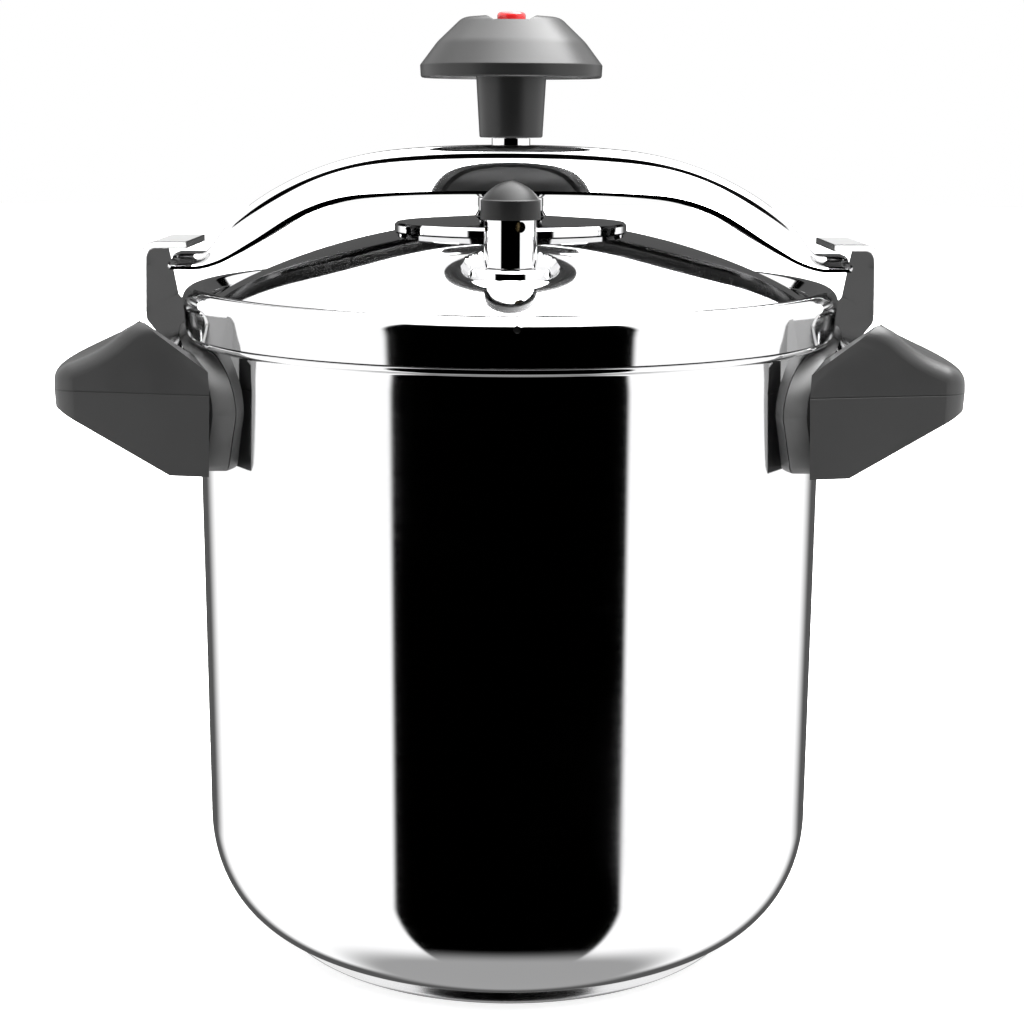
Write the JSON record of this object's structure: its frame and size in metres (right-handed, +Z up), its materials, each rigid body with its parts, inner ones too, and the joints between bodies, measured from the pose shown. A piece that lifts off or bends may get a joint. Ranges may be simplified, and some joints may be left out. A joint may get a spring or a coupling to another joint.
{
  "type": "stovetop pressure cooker",
  "caption": "Tall polished steel stovetop pressure cooker with side handles, hooked clasps, a bridge over the domed lid, a black clamping knob and a rotary operating valve.",
  "frame": {"origin": "middle of the base's underside", "axes": "+Z up along the pot's axis, +X towards one side handle, -Y towards the operating valve at the front"},
  "size_m": [0.346, 0.253, 0.3604],
  "materials": {
    "polished_steel": "mirror polished stainless steel",
    "satin_steel": "satin stainless steel",
    "aluminium_core": "plain",
    "black_plastic": "fine satin moulded thermoset",
    "red_plastic": "gloss",
    "black_rubber": "matt",
    "brass": "turned"
  },
  "bodies": {
    "vessel": {"pot_body": "polished_steel", "base_cap": "satin_steel", "base_core": "aluminium_core", "bracket_left": "satin_steel", "bracket_right": "satin_steel", "pad_left": "black_plastic", "pad_right": "black_plastic", "clasp_left": "polished_steel", "clasp_right": "polished_steel", "grip_left": "black_plastic", "grip_right": "black_plastic", "grip_screws_left": "satin_steel", "grip_screws_right": "satin_steel"},
    "lid": {"lid": "polished_steel", "gasket": "black_rubber", "pressure_plate": "polished_steel", "bearing_washer": "brass", "valve_collar": "polished_steel", "vent_pipe": "satin_steel", "vent_seal": "black_rubber", "vent_nut": "satin_steel", "vent_filter": "satin_steel", "safety_body": "satin_steel", "safety_seal": "black_rubber", "safety_nut": "satin_steel", "safety_spring": "satin_steel"},
    "bridge": {"bridge": "polished_steel", "bridge_nut": "polished_steel", "bridge_bush": "polished_steel"},
    "knob": {"spindle": "satin_steel", "spindle_collar": "polished_steel", "collar_pin": "satin_steel", "knob_body": "black_plastic", "knob_insert": "brass", "knob_washer": "satin_steel", "knob_screw": "satin_steel", "knob_cap": "red_plastic"},
    "valve": {"valve_weight": "brass", "valve_sleeve": "polished_steel"},
    "valve_cap": {"valve_cap": "black_plastic"},
    "safety_pin": {"safety_pin": "satin_steel"}
  },
  "joints": [
    {"name": "lid_turn", "type": "hinge", "parent": "vessel", "child": "lid", "pos_m": [0, 0, 0.25], "axis": [0, 0, 1], "range_deg": [0, 90]},
    {"name": "knob_turn", "type": "hinge", "parent": "lid", "child": "knob", "pos_m": [0, 0, 0.34], "axis": [0, 0, 1], "range_deg": [0, 252]},
    {"name": "bridge_rise", "type": "slide", "parent": "lid", "child": "bridge", "axis": [0, 0, 1], "range_m": [0, 0.0021]},
    {"name": "valve_lift", "type": "slide", "parent": "lid", "child": "valve", "axis": [0, 0, 1], "range_m": [0, 0.004]},
    {"name": "valve_cap_turn", "type": "hinge", "parent": "valve", "child": "valve_cap", "pos_m": [0, -0.075, 0.29], "axis": [0, 0, 1], "range_deg": [0, 90]},
    {"name": "safety_pin_rise", "type": "slide", "parent": "lid", "child": "safety_pin", "axis": [0, 0, 1], "range_m": [0, 0.0025], "stiffness_N_per_m": 1500, "springref_m": -0.001, "deforming": ["safety_spring"]}
  ],
  "couplings": [
    {"joint": "knob_turn", "follows": "bridge_rise", "rad_per_m": 2094.4}
  ]
}
